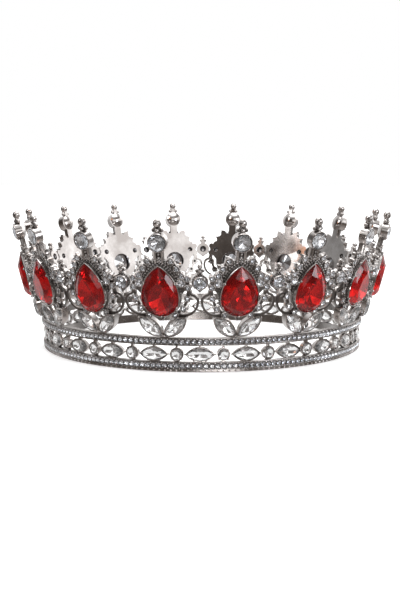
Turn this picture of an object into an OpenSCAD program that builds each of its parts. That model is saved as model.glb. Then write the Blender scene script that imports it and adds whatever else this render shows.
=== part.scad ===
// Full-round crown: a stone-set band carrying fingers that lean outwards.
// Millimetres, +Z up, origin at the middle of the base.

/* [Overall] */
// Outer diameter of the lower rail
base_d = 127; // [100:1:170]
// Height from the base to the top of a finger's bead
crown_h = 53.9; // [52:0.1:75]
// How far the fingers lean outwards, in degrees
lean = 14.5; // [5:0.5:20]

/* [Band] */
// Radial thickness of the lower rail
rail_t = 2; // [1.6:0.1:4]
// How far the upper rail stands out past the lower one
rail_step = 0.6; // [0:0.1:1.5]
// Height of the lower rail
lower_rail_h = 3.5; // [3:0.1:6]
// Height of the upper rail
upper_rail_h = 2.9; // [2.5:0.1:5]
// Diameter of the small stones in both rails
rail_stone_d = 1.8; // [1.2:0.1:2]
// Least gap between neighbouring rail stones
rail_stone_gap = 0.25; // [0.15:0.05:1]
// Length of the lying navette stones
navette_l = 9.6; // [7:0.1:13]
// Width of the lying navette stones
navette_w = 4.6; // [4:0.1:6]
// Diameter of the round stones between the navettes
round_d = 4.2; // [3:0.1:4.4]
// Least gap between a navette setting and a round setting
link_gap = 0.45; // [0.4:0.05:2]
// Gap between the middle row and the upper rail
post_h = 0.6; // [0.4:0.1:3]

/* [Finger] */
// Thickness of the castings
plate_t = 1.5; // [1.2:0.1:2.5]
// Width of the drop stone
drop_w = 13; // [11:0.1:16]
// Length of the drop stone
drop_l = 18; // [16:0.1:22]
// Length of the leaf stones
leaf_l = 10.2; // [8:0.1:12.5]
// Width of the leaf stones
leaf_w = 4.8; // [3.5:0.1:5.8]
// Angle of the leaves above the rail, in degrees
leaf_angle = 41.5; // [35:0.5:50]
// Diameter of the round crest stone
crest_d = 6.1; // [5:0.1:8]
// Diameter of the small accent stones
accent_d = 1.8; // [1.2:0.1:1.9]
// Diameter of the clear stones at the drop's flanks
flank_d = 2.6; // [2:0.1:2.6]
// Width of the scroll wires
scroll_w = 0.8; // [0.6:0.05:1.2]
// Radius of the bead at the tip
tip_bead_r = 1.5; // [1:0.1:2]

/* [Bridge] */
// Diameter of the round stone between two fingers
bridge_d = 4.2; // [3:0.1:5]
// Width of the flange round its setting
bridge_flange = 0.45; // [0.3:0.05:0.5]
// Radius of the bead on a bridge finial
bridge_bead_r = 0.9; // [0.6:0.1:1.2]

/* [Settings] */
// Thickness of a bezel's wall
wall = 0.3; // [0.25:0.05:0.5]
// Clearance between a stone and its setting
fit_gap = 0.04; // [0.02:0.01:0.1]
// Clearance between neighbouring castings
joint_gap = 0.06; // [0.04:0.01:0.2]

/* [Hidden] */
$fn = 40;

// Band
base_r = base_d / 2;
bore_r = base_r - rail_t;
upper_r = base_r + rail_step;
channel_depth = 0.6;
rail_lip = 0.45;
rail_stone_h = 0.95;
rail_count = floor(2 * PI * (base_r - channel_depth) / (rail_stone_d + rail_stone_gap));
row_z = lower_rail_h + wall + navette_w / 2;
upper_z = row_z + navette_w / 2 + wall + post_h;
band_top = upper_z + upper_rail_h;
lower_stone_z = lower_rail_h - rail_lip - rail_stone_d / 2;
upper_stone_z = upper_z + upper_rail_h / 2;

// Middle row of the band: each setting is a seat with a wall round it
row_inset = 0.05;
row_back_r = bore_r + row_inset;
seat_h = 0.5;
setting_h = 1.6;
seat_ledge = 0.6;
link_r = link_gap / 2 + 0.1;
post_w = 0.8;
foot_w = 1.6;
row_mid_r = row_back_r + setting_h / 2;
navette_reach = lens_half(navette_l, navette_w, wall);
round_reach = round_d / 2 + wall;
row_count = floor(PI * row_mid_r / (navette_reach + round_reach + link_gap));

// Finger, in its own flat plane: x across, s up the casting from the top of the band
finger_r = upper_r - 0.1;
leaf_tip = [0.2, 0.75];
leaf_reach = lens_half(leaf_l, leaf_w, wall);
leaf_mid = leaf_tip + leaf_reach * [cos(leaf_angle), sin(leaf_angle)];
leaf_top = leaf_tip + 2 * leaf_reach * [cos(leaf_angle), sin(leaf_angle)];
drop_r = drop_w / 2;
drop_rise = drop_l - drop_r;
drop_side_r = (drop_r * drop_r + drop_rise * drop_rise) / (2 * drop_r);
cup_r = accent_d / 2 + wall;

// The stone where a leaf, the drop and the scroll meet rests on the leaf, and the drop rests on it
joint_along = 3.1;
joint_off = lens_edge(leaf_l, leaf_w, wall, joint_along) + accent_d / 2 + 0.15;
joint_spot = leaf_mid + joint_along * [cos(leaf_angle), sin(leaf_angle)]
    + joint_off * [-sin(leaf_angle), cos(leaf_angle)];
drop_mid = joint_spot[1] + sqrt(pow(drop_r + wall + cup_r + 0.1, 2) - pow(joint_spot[0], 2));
drop_bottom = drop_mid - drop_r;
drop_tip = drop_mid + drop_rise;
tip_s = (crown_h - band_top - tip_bead_r - plate_t / 2 * sin(lean)) / cos(lean);
tier_s = tip_s - tip_bead_r - 0.8;
tier_r = 0.8;
crest_r = crest_d / 2 + wall;
crest_s = tier_s - tier_r - crest_r + 0.1;
tier_gap = 1.3;
neck_w = 3.2;
prong_w = 2.4;
prong_l = 2.7;
foot_block = [3, min(plate_t, finger_r - bore_r) - 0.2, 1.8];

// Heights above the plate's front face
accent_wall_h = 0.7;
accent_stone_h = 0.95;
leaf_girdle_h = 0.8;
leaf_wall_h = 1;
drop_back_h = 0.1;
drop_girdle_h = 1.6;
drop_wall_h = 1.9;
drop_crown_h = 2.6;
drop_window_r = 4;
crest_girdle_h = 0.9;
crest_wall_h = 1.3;
crest_back_r = 4.5;
crest_back_h = 1.2;

// Accent stones up one side: [distance across, height up the casting]
shoulder_spots = [
    [4.1, drop_tip + 1.5],
    [drop_half(-1.2) + 4.3, drop_tip - 1.2],
    [drop_half(-3.7) + 3.45, drop_tip - 3.7],
    [drop_half(-4.7) + 4.85, drop_tip - 4.7],
    [drop_half(-7.9) + 3.6, drop_tip - 7.9]];
scroll_spots = [
    [drop_r + 2.7, drop_mid - 0.4],
    [drop_r + 1.05, drop_mid - 4.2],
    joint_spot];
side_spots = concat(shoulder_spots, scroll_spots);
flank_spot = [drop_half(-6.3) + wall + flank_d / 2 + 0.3, drop_tip - 6.3];

// Points that stand out from the shoulders: [root, reach]
spikes = [
    [shoulder_spots[0], [1.1, 1.6]],
    [shoulder_spots[1], [1.9, 1.1]],
    [scroll_spots[0], [2.1, -0.6]]];
wing_spot = shoulder_spots[3];
wing_x = max([for (p = shoulder_spots) p[0]]) + cup_r;

// Bridge finial, in its own flat plane
bridge_r = bridge_d / 2 + wall;
bridge_s = wing_spot[1] - 1.5;
bridge_point_s = bridge_s - bridge_r - 1.35;
bridge_tier_s = bridge_s + bridge_r + 1.7;
bridge_tip_s = bridge_tier_s + 1.5;
bridge_tier_r = 0.65;
bridge_tier_gap = 1;
bridge_neck_w = 2.1;
bridge_window_r = bridge_d / 2 - 0.7;
bridge_wall_h = 1.1;
bridge_girdle_h = 0.8;

// As many fingers as the circumference takes, side by side with a bridge between them.
// They come closest just below the bridge's stone, at the back face.
closest_s = bridge_s - 2;
wing_back_r = finger_r - plate_t + closest_s * sin(lean);
finger_count = floor(180 / atan((wing_x + bridge_r + joint_gap) / wing_back_r));
pitch = 360 / finger_count;

// Scroll wires: two quarter rings that meet the neighbour's half way
contact_s = drop_mid - 1.6;
contact_x = (finger_r - plate_t + contact_s * sin(lean)) * tan(pitch / 2) - joint_gap;
scroll_low_r = contact_s - joint_spot[1] + 0.3;
scroll_top_r = min(2.6, bridge_point_s - contact_s - scroll_w);

finger_names = [for (i = [1:finger_count]) str("finger_casting_", i)];
drop_names = [for (i = [1:finger_count]) str("drop_stone_", i)];

// Radius of the two arcs that make a pointed lens l long and w wide
function lens_r(l, w) = (w * w + l * l) / (4 * w);

// Half the length of a lens grown by o all round
function lens_half(l, w, o) =
    sqrt(pow(lens_r(l, w) + o, 2) - pow(lens_r(l, w) - w / 2, 2));

// Half the width of such a lens at a distance along it from its middle
function lens_edge(l, w, o, along) =
    sqrt(pow(lens_r(l, w) + o, 2) - along * along) - lens_r(l, w) + w / 2;

// Half the width of the drop, at a height measured from its tip
function drop_half(below_tip) =
    sqrt(drop_side_r * drop_side_r - pow(drop_rise + below_tip, 2)) - drop_side_r + drop_r;

// Corners of a lens outline, n to each arc
function lens_points(l, w, n) =
    let (r = lens_r(l, w), a = asin(l / 2 / r))
    concat(
        [for (i = [0:n - 1]) [r * sin(a - 2 * a * i / n), r * cos(a - 2 * a * i / n) - r + w / 2]],
        [for (i = [0:n - 1]) [-r * sin(a - 2 * a * i / n), r - w / 2 - r * cos(a - 2 * a * i / n)]]);

// Corners of the drop outline: 2n round its lower half and n up each side
function drop_points(n) =
    let (a = asin(drop_rise / drop_side_r), c = drop_side_r - drop_r)
    concat(
        [for (i = [0:2 * n]) drop_r * [cos(180 + 90 * i / n), sin(180 + 90 * i / n)]],
        [for (i = [1:n]) [drop_side_r * cos(a * i / n) - c, drop_side_r * sin(a * i / n)]],
        [for (i = [1:n - 1]) [c - drop_side_r * cos(a - a * i / n), drop_side_r * sin(a - a * i / n)]]);

// A pointed lens, grown by o
module lens2d(l, w, o) {
    r = lens_r(l, w);
    intersection() {
        translate([0, r - w / 2]) circle(r + o, $fn = 96);
        translate([0, w / 2 - r]) circle(r + o, $fn = 96);
    }
}

// The drop outline with the middle of its round end at the origin, grown by o
module drop2d(o) {
    intersection() {
        circle(drop_r + o, $fn = 96);
        translate([-drop_w, -drop_w]) square([2 * drop_w, drop_w]);
    }
    intersection() {
        translate([drop_side_r - drop_r, 0]) circle(drop_side_r + o, $fn = 96);
        translate([drop_r - drop_side_r, 0]) circle(drop_side_r + o, $fn = 96);
        translate([-drop_w, 0]) square([2 * drop_w, 2 * drop_l]);
    }
}

// A straight bar w wide from point p to point q
module bar2d(p, q, w) {
    d = q - p;
    translate(p) rotate(atan2(d[1], d[0])) translate([0, -w / 2]) square([norm(d), w]);
}

// The first-quadrant quarter of a ring whose wire runs at radius r
module quarter_ring2d(r, w) {
    intersection() {
        difference() {
            circle(r + w / 2);
            circle(r - w / 2);
        }
        square(r + w);
    }
}

// A stone with flat facets: each ring is the outline scaled about its middle, at a height
module cut_stone(points, rings) {
    n = len(points);
    top = n * (len(rings) - 1);
    polyhedron(
        [for (k = rings, p = points) [p[0] * k[0], p[1] * k[0], k[1]]],
        concat(
            [[for (i = [0:n - 1]) i], [for (i = [n - 1:-1:0]) top + i]],
            [for (k = [0:len(rings) - 2], i = [0:n - 1])
                let (a = k * n + i, b = k * n + (i + 1) % n)
                [a, a + n, b + n, b]]));
}

// A round stone from its profile: culet depth, girdle height, table height
module round_stone(d, culet, girdle, table) {
    r = d / 2;
    rotate_extrude() polygon([
        [0, culet], [r, girdle], [r, girdle + 0.1], [r * 0.55, table], [0, table]]);
}

// A small stone with a flat back
module flat_stone(d, h) {
    cylinder(h = h, r1 = d / 2, r2 = d / 4);
}

// Places a flat plane that leans outwards on the top of the band
module on_band(angle, r) {
    rotate([0, 0, angle]) translate([0, -r, band_top]) rotate([90 + lean, 0, 0]) children();
}

// Places an upright plane whose back is at radius r, at height z
module on_wall(angle, r, z) {
    rotate([0, 0, angle]) translate([0, -r, z]) rotate([90, 0, 0]) children();
}

// Both sides of a finger
module both_sides() {
    children();
    mirror([1, 0, 0]) children();
}

module at_finger(i) {
    on_band((i - 0.5) * pitch, finger_r) children();
}

module at_bridge(i) {
    on_band(i * pitch, finger_r * cos(pitch / 2) + wing_x * sin(pitch / 2)) children();
}

module at_leaf() {
    translate(leaf_mid) rotate(leaf_angle) children();
}

// A rail with a channel for its stones
module rail(r, z, h, stone_z) {
    channel_h = rail_stone_d + 2 * fit_gap;
    rotate_extrude($fn = 120) difference() {
        translate([bore_r, z]) square([r - bore_r, h]);
        translate([r - channel_depth, stone_z - channel_h / 2]) square([channel_depth + 1, channel_h]);
    }
}

module rail_stones(r, z) {
    for (i = [0:rail_count - 1])
        on_wall(360 * i / rail_count, r - channel_depth + fit_gap, z)
            flat_stone(rail_stone_d, rail_stone_h, $fn = 16);
}

module lower_rail() {
    color("silver") rail(base_r, 0, lower_rail_h, lower_stone_z);
}

module lower_rail_stones() {
    color("whitesmoke") rail_stones(base_r, lower_stone_z);
}

module upper_rail() {
    color("silver") rail(upper_r, upper_z, upper_rail_h, upper_stone_z);
}

module upper_rail_stones() {
    color("whitesmoke") rail_stones(upper_r, upper_stone_z);
}

// Foot and post of a setting in the middle row, whose half height is reach
module row_posts(reach) {
    foot_h = row_z - lower_rail_h - reach + 0.4;
    top_h = upper_z - row_z - reach + 0.2;
    translate([-foot_w / 2, lower_rail_h - row_z, 0]) cube([foot_w, foot_h, seat_h]);
    translate([-post_w / 2, upper_z - row_z - top_h, 0]) cube([post_w, top_h, setting_h]);
}

module navette_setting() {
    linear_extrude(seat_h) difference() {
        lens2d(navette_l, navette_w, wall);
        lens2d(navette_l, navette_w, -seat_ledge);
    }
    linear_extrude(setting_h) difference() {
        lens2d(navette_l, navette_w, wall);
        lens2d(navette_l, navette_w, fit_gap);
    }
    for (side = [-1, 1])
        translate([side * (navette_reach + 0.1), 0, setting_h / 2]) sphere(link_r, $fn = 20);
    row_posts(navette_w / 2 + wall);
}

module round_setting() {
    linear_extrude(seat_h) difference() {
        circle(round_reach);
        circle(round_d / 2 - seat_ledge);
    }
    linear_extrude(setting_h) difference() {
        circle(round_reach);
        circle(round_d / 2 + fit_gap);
    }
    row_posts(round_reach);
}

module navette_settings() {
    color("silver") for (i = [0:row_count - 1])
        on_wall(360 * i / row_count, row_back_r, row_z) navette_setting();
}

module round_settings() {
    color("silver") for (i = [0:row_count - 1])
        on_wall(360 * (i + 0.5) / row_count, row_back_r, row_z) round_setting();
}

module band_navette_stones() {
    color("whitesmoke") for (i = [0:row_count - 1])
        on_wall(360 * i / row_count, row_back_r, row_z)
            cut_stone(lens_points(navette_l, navette_w, 6),
                      [[0.3, 0.1], [1, setting_h - 0.5], [1, setting_h - 0.35], [0.55, setting_h + 0.4]]);
}

module band_round_stones() {
    color("whitesmoke") for (i = [0:row_count - 1])
        on_wall(360 * (i + 0.5) / row_count, row_back_r, row_z)
            round_stone(round_d, 0.1, setting_h - 0.5, setting_h + 0.4);
}

// Outline of a finger's plate, without the drop's own outline
module plate2d() {
    translate([0, drop_mid]) drop2d(wall + 0.2);
    translate([-neck_w / 2, drop_mid]) square([neck_w, crest_s - drop_mid]);
    translate([0, crest_s]) circle(crest_r);
    translate([-tier_r, crest_s]) square([2 * tier_r, tip_s - crest_s]);
    polygon([[-prong_w / 2, drop_bottom], [prong_w / 2, drop_bottom], [0, drop_bottom - prong_l]]);
    both_sides() {
        polygon(concat([[0, drop_mid], [0, drop_tip + 1.5]], shoulder_spots, [[drop_r, drop_mid]]));
        for (p = side_spots) translate(p) circle(cup_r);
        for (i = [0:len(side_spots) - 2]) bar2d(side_spots[i], side_spots[i + 1], 1);
        for (k = spikes) spike2d(k[0], k[1]);
        translate(flank_spot) circle(flank_d / 2 + wall);
        at_leaf() lens2d(leaf_l, leaf_w, wall);
        bar2d(joint_spot, leaf_top - [1.5, 1.5], 1.2);
        scroll2d();
    }
}

// A pointed spike from the middle of a cup
module spike2d(root, reach) {
    side = (cup_r - 0.3) * [-reach[1], reach[0]] / norm(reach);
    polygon([root + side, root - side, root + reach]);
}

// The scroll wire of one side, and the bars that tie its ends to the stones beside them
module scroll2d() {
    top_mid = [contact_x - scroll_w / 2 - scroll_top_r, contact_s];
    low_mid = [contact_x - scroll_w / 2 - scroll_low_r, contact_s];
    translate(top_mid) quarter_ring2d(scroll_top_r, scroll_w);
    translate(low_mid) mirror([0, 1]) quarter_ring2d(scroll_low_r, scroll_w);
    bar2d(top_mid + [0.1, scroll_top_r], shoulder_spots[4], scroll_w);
    bar2d(low_mid + [0.1, -scroll_low_r], joint_spot, scroll_w);
}

// Openings through the plate behind the stones
module plate_holes2d() {
    translate([0, drop_mid]) circle(drop_window_r);
    both_sides() {
        at_leaf() lens2d(leaf_l, leaf_w, -0.8);
        translate(flank_spot) circle(flank_d / 2 - 0.25);
        for (p = scroll_spots) translate(p) circle(accent_d / 2 - 0.35);
    }
}

module finger_casting() {
    translate([0, 0, -plate_t]) linear_extrude(plate_t) difference() {
        plate2d();
        plate_holes2d();
    }
    linear_extrude(drop_wall_h) translate([0, drop_mid]) difference() {
        drop2d(wall);
        drop2d(fit_gap);
    }
    linear_extrude(crest_wall_h) translate([0, crest_s]) difference() {
        circle(crest_r);
        circle(crest_d / 2 + fit_gap);
    }
    linear_extrude(leaf_wall_h) both_sides() at_leaf() difference() {
        lens2d(leaf_l, leaf_w, wall);
        lens2d(leaf_l, leaf_w, fit_gap);
    }
    linear_extrude(accent_wall_h) both_sides() for (p = side_spots) translate(p) difference() {
        circle(cup_r);
        circle(accent_d / 2 + fit_gap);
    }
    linear_extrude(accent_wall_h) both_sides() translate(flank_spot) difference() {
        circle(flank_d / 2 + wall);
        circle(flank_d / 2 + fit_gap);
    }
    translate([0, crest_s, -plate_t]) crest_back();
    translate([0, tip_s, -plate_t / 2]) sphere(tip_bead_r, $fn = 30);
    for (x = [-tier_gap, 0, tier_gap]) translate([x, tier_s, -plate_t / 2]) sphere(tier_r, $fn = 20);
}

// Smooth swelling behind the crest stone
module crest_back() {
    intersection() {
        translate([0, 0, crest_back_r - crest_back_h]) sphere(crest_back_r, $fn = 48);
        translate([-crest_back_r, -crest_back_r, -2 * crest_back_h])
            cube([2 * crest_back_r, 2 * crest_back_r, 2 * crest_back_h + 0.3]);
    }
}

// Block that carries a finger on the upper rail
module finger_foot() {
    translate([-foot_block[0] / 2, -finger_r + 0.15, band_top]) cube(foot_block);
}

module finger_castings(i) {
    color("silver") {
        at_finger(i) finger_casting();
        rotate([0, 0, (i - 0.5) * pitch]) finger_foot();
    }
}

module drop_stone(i) {
    color("crimson") at_finger(i) translate([0, drop_mid, 0])
        cut_stone(drop_points(4),
                  [[0.4, drop_back_h], [1, drop_girdle_h], [1, drop_girdle_h + 0.2],
                   [0.86, drop_girdle_h + 0.6 * drop_crown_h], [0.55, drop_girdle_h + drop_crown_h]]);
}

module leaf_stones() {
    color("whitesmoke") for (i = [1:finger_count]) at_finger(i) both_sides() at_leaf()
        cut_stone(lens_points(leaf_l, leaf_w, 6),
                  [[0.25, -0.6], [1, leaf_girdle_h], [1, leaf_girdle_h + 0.15], [0.55, leaf_girdle_h + 1]]);
}

module crest_stones() {
    color("whitesmoke") for (i = [1:finger_count]) at_finger(i) translate([0, crest_s, 0])
        round_stone(crest_d, 0.1, crest_girdle_h, crest_girdle_h + 1.4);
}

module accent_stones(spots) {
    color("whitesmoke") for (i = [1:finger_count]) at_finger(i) both_sides() for (p = spots)
        translate(p) flat_stone(accent_d, accent_stone_h, $fn = 16);
}

module shoulder_stones() {
    accent_stones(shoulder_spots);
}

module scroll_stones() {
    accent_stones(scroll_spots);
}

module flank_stones() {
    color("whitesmoke") for (i = [1:finger_count]) at_finger(i) both_sides()
        translate(flank_spot) flat_stone(flank_d, accent_stone_h + 0.2);
}

module bridge_finial() {
    translate([0, 0, -plate_t]) linear_extrude(plate_t) difference() {
        union() {
            translate([0, bridge_s]) circle(bridge_r + bridge_flange);
            polygon([[-bridge_r * 0.9, bridge_s - bridge_r * 0.7], [0, bridge_point_s],
                     [bridge_r * 0.9, bridge_s - bridge_r * 0.7]]);
            polygon([[-bridge_neck_w / 2, bridge_s], [-bridge_neck_w / 2, bridge_s + bridge_r],
                     [0, bridge_tip_s + 0.3], [bridge_neck_w / 2, bridge_s + bridge_r],
                     [bridge_neck_w / 2, bridge_s]]);
        }
        translate([0, bridge_s]) circle(bridge_window_r);
    }
    linear_extrude(bridge_wall_h) translate([0, bridge_s]) difference() {
        circle(bridge_r);
        circle(bridge_d / 2 + fit_gap);
    }
    translate([0, bridge_tip_s, -plate_t / 2]) sphere(bridge_bead_r, $fn = 20);
    for (x = [-bridge_tier_gap, 0, bridge_tier_gap])
        translate([x, bridge_tier_s, -plate_t / 2]) sphere(bridge_tier_r, $fn = 20);
}

module bridge_finials() {
    color("silver") for (i = [1:finger_count]) at_bridge(i) bridge_finial();
}

module bridge_stones() {
    color("whitesmoke") for (i = [1:finger_count]) at_bridge(i) translate([0, bridge_s, 0])
        round_stone(bridge_d, -0.4, bridge_girdle_h, bridge_girdle_h + 0.9);
}

lower_rail();
lower_rail_stones();
upper_rail();
upper_rail_stones();
navette_settings();
band_navette_stones();
round_settings();
band_round_stones();
leaf_stones();
crest_stones();
shoulder_stones();
scroll_stones();
flank_stones();
bridge_finials();
bridge_stones();
for (i = [1:finger_count]) finger_castings(i);
for (i = [1:finger_count]) drop_stone(i);
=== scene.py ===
# %% [markdown]
# # A full-round rhinestone crown
# The real thing is costume jewellery: zinc castings plated with a bright silver tone, glass stones that
# mostly have mirror foil on their backs, and a band of three stone-set rows that carries sixteen
# fingers. The CAD frame already holds every piece at its size and place. This lesson gives each piece
# its finished shape and surface. It works in millimetres while it models, and turns to metres at the
# end of each piece.

import math

import bmesh
import bpy
from mathutils import Matrix, Vector


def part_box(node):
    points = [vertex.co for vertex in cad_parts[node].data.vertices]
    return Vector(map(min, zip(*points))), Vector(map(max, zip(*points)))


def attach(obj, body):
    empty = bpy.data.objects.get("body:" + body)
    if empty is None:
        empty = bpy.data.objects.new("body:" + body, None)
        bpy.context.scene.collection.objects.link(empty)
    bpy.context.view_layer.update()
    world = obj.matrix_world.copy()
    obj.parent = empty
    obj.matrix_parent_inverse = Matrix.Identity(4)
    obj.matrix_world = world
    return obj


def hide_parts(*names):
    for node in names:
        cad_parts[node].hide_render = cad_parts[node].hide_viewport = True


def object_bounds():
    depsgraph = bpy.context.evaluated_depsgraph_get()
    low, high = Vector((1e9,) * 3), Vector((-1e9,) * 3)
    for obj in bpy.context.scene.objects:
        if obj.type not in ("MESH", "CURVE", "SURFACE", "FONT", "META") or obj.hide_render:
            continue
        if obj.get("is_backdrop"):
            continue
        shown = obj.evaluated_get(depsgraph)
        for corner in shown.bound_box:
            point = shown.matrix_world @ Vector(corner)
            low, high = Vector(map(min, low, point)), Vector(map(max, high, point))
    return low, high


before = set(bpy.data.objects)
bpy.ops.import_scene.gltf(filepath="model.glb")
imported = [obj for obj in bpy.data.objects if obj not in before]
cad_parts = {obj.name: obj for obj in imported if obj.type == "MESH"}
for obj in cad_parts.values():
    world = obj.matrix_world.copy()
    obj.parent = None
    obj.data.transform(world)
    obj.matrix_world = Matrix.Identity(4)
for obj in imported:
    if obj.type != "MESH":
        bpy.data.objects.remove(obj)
cad_box = [list(corner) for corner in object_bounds()]
print("CAD nodes:", len(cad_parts))

# %% [markdown]
# ## The sizes that everything follows
# A jeweller starts from the stones, because they are bought in fixed sizes and the metal is made round
# them. The same few sizes drive this script, and the places of cups and claws are worked out from them
# in the way that the castings were laid out. All of them are in millimetres.

# %% Stone and band sizes
MM = 0.001
BASE_R = 63.5
BORE_R = 61.5
UPPER_R = 64.1
LOWER_RAIL_H = 3.5
UPPER_RAIL_Z = 9.3
BAND_TOP = 12.2
RAIL_STONE_D = 1.8
RAIL_COUNT = 192
NAVETTE = (9.6, 4.6)
ROUND_D = 4.2
ROW_COUNT = 24
WALL = 0.3
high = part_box("lower_rail")[1]
print("base radius in the frame:", round(high.x / MM, 2), "and here:", BASE_R)

# %% Finger sizes
FINGER_COUNT = 16
PITCH = math.radians(360 / FINGER_COUNT)
LEAN = math.radians(14.5)
FINGER_R = UPPER_R - 0.1
CROWN_H = 53.9
PLATE_T = 1.5
DROP_R = 6.5
DROP_RISE = 11.5
LEAF = (10.2, 4.8)
LEAF_ANGLE = math.radians(41.5)
CREST_D = 6.1
ACCENT_D = 1.8
FLANK_D = 2.6
BRIDGE_D = 4.2
CUP_R = ACCENT_D / 2 + WALL
print("pitch between fingers:", math.degrees(PITCH), "degrees")

# %% [markdown]
# ## Outlines
# Three outlines make every stone: a circle, a pointed lens for the navettes and leaves, and a drop. Each
# is built from arcs, so it can be grown or shrunk by an offset, as a bezel grows from its stone. A
# function gives the points of each outline, and a phase shifts them by part of a step, because facets
# in neighbouring rows of a cut stone alternate.

# %% The circle and the lens
def lens_radius(size):
    return (size[1] ** 2 + size[0] ** 2) / (4 * size[1])


def lens_half(size, grow):
    """Half the length of a lens that is grown all round."""
    radius = lens_radius(size)
    return math.sqrt((radius + grow) ** 2 - (radius - size[1] / 2) ** 2)


def lens_outline(size, grow=0.0):
    def points(count, phase=0.0):
        radius = lens_radius(size) + grow
        centre = lens_radius(size) - size[1] / 2
        sweep = math.asin(lens_half(size, grow) / radius)
        turns = [sweep - 2 * sweep * (i + phase) / (count // 2) for i in range(count // 2)]
        upper = [Vector((radius * math.sin(t), radius * math.cos(t) - centre, 0)) for t in turns]
        return upper + [-p for p in upper]

    return points


def circle_outline(diameter, grow=0.0):
    def points(count, phase=0.0):
        turns = [2 * math.pi * (i + phase) / count for i in range(count)]
        radius = diameter / 2 + grow
        return [Vector((radius * math.cos(t), radius * math.sin(t), 0)) for t in turns]

    return points


# %% The drop: half a circle below, two flatter arcs that meet in a point above
DROP_SIDE_R = (DROP_R**2 + DROP_RISE**2) / (2 * DROP_R)


def drop_half(height):
    """Half the width of the drop, at a height above the middle of its round end."""
    return math.sqrt(DROP_SIDE_R**2 - height**2) - DROP_SIDE_R + DROP_R


def drop_outline(grow=0.0):
    def points(count, phase=0.0):
        centre = DROP_SIDE_R - DROP_R
        side = DROP_SIDE_R + grow
        sweep = math.acos(centre / side)
        found = []
        for i in range(count):
            share = ((i + phase) / count) % 1
            if share < 0.5:
                turn = math.pi + 2 * math.pi * share
                found.append((DROP_R + grow) * Vector((math.cos(turn), math.sin(turn), 0)))
            else:
                left = 1 if share < 0.75 else -1
                turn = sweep * (4 * share - 2 if left == 1 else 4 - 4 * share)
                found.append(Vector((left * (side * math.cos(turn) - centre), side * math.sin(turn), 0)))
        return found

    return points


print("drop:", round(2 * DROP_R, 1), "by", round(DROP_R + DROP_RISE, 1), "mm")

# %% [markdown]
# ## Where things sit on a finger
# A finger is laid out flat: x runs across it, y runs up it from the top of the band, and z stands out
# from its front face. One matrix then leans that plane outwards and turns it round the ring. The
# points below follow the drop's outline, so the cups hug the red stone.

# %% Places on the finger's plane
leaf_reach = lens_half(LEAF, WALL)
leaf_along = Vector((math.cos(LEAF_ANGLE), math.sin(LEAF_ANGLE), 0))
leaf_across = Vector((-math.sin(LEAF_ANGLE), math.cos(LEAF_ANGLE), 0))
leaf_mid = Vector((0.2, 0.75, 0)) + leaf_reach * leaf_along

JOINT_ALONG = 3.1
lens_r = lens_radius(LEAF)
leaf_edge = math.sqrt((lens_r + WALL) ** 2 - JOINT_ALONG**2) - lens_r + LEAF[1] / 2
joint_spot = leaf_mid + JOINT_ALONG * leaf_along + (leaf_edge + ACCENT_D / 2 + 0.15) * leaf_across
drop_mid = joint_spot.y + math.sqrt((DROP_R + WALL + CUP_R + 0.1) ** 2 - joint_spot.x**2)
drop_tip = drop_mid + DROP_RISE

TIP_R = 1.5
TIER_R = 0.8
tip_y = (CROWN_H - BAND_TOP - TIP_R - PLATE_T / 2 * math.sin(LEAN)) / math.cos(LEAN)
tier_y = tip_y - TIP_R - 0.8
crest_r = CREST_D / 2 + WALL
crest_y = tier_y - TIER_R - crest_r + 0.1


def beside_drop(out, below_tip):
    """A point beside the drop: how far out from its edge, and how far below its tip."""
    return Vector((drop_half(DROP_RISE - below_tip) + out, drop_tip - below_tip, 0))


shoulder_spots = [
    Vector((4.1, drop_tip + 1.5, 0)),
    beside_drop(4.3, 1.2),
    beside_drop(3.45, 3.7),
    beside_drop(4.85, 4.7),
    beside_drop(3.6, 7.9),
]
scroll_spots = [
    Vector((DROP_R + 2.7, drop_mid - 0.4, 0)),
    Vector((DROP_R + 1.05, drop_mid - 4.2, 0)),
    joint_spot,
]
flank_spot = beside_drop(WALL + FLANK_D / 2 + 0.3, 6.3)
print("drop's middle is", round(drop_mid, 2), "up the finger, its tip", round(drop_tip, 2))

# %% Places on the bridge finials
bridge_r = BRIDGE_D / 2 + WALL
bridge_y = shoulder_spots[3].y - 1.5
bridge_tier_y = bridge_y + bridge_r + 1.7
bridge_tip_y = bridge_tier_y + 1.5
wing_x = max(spot.x for spot in shoulder_spots) + CUP_R
bridge_plane_r = FINGER_R * math.cos(PITCH / 2) + wing_x * math.sin(PITCH / 2)


# %% Matrices that carry a flat plane on to the crown
def leaning_plane(turn, radius):
    lean = Matrix.Rotation(math.pi / 2 + LEAN, 4, "X")
    return Matrix.Rotation(turn, 4, "Z") @ Matrix.Translation((0, -radius, BAND_TOP)) @ lean


def finger_plane(number):
    return leaning_plane((number - 0.5) * PITCH, FINGER_R)


def upright_plane(turn, radius, height):
    upright = Matrix.Rotation(math.pi / 2, 4, "X")
    return Matrix.Rotation(turn, 4, "Z") @ Matrix.Translation((0, -radius, height)) @ upright


# %% [markdown]
# ## Camera
# A product shot of a crown is taken from a little above its band, with a moderate lens, so that the far
# fingers show over the near ones. The camera is set first, because the finish of metal and glass can
# only be judged from where it is seen.

# %% Camera
target = Vector((-0.69, 0, 17.2)) * MM
CAMERA_AWAY = 0.4269
side, rise = math.radians(0.6), math.radians(7.4)
back = Vector((math.sin(side) * math.cos(rise), -math.cos(side) * math.cos(rise), math.sin(rise)))
camera = bpy.data.objects.new("camera", bpy.data.cameras.new("camera"))
camera.data.lens = 62.9
camera.data.clip_start = 0.01
camera.location = target + CAMERA_AWAY * back
camera.rotation_euler = (-back).to_track_quat("-Z", "Y").to_euler()
bpy.context.collection.objects.link(camera)
bpy.context.scene.camera = camera
bpy.context.scene.view_settings.view_transform = "Standard"
print("camera is", round(camera.location.length, 3), "m from the origin")

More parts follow.
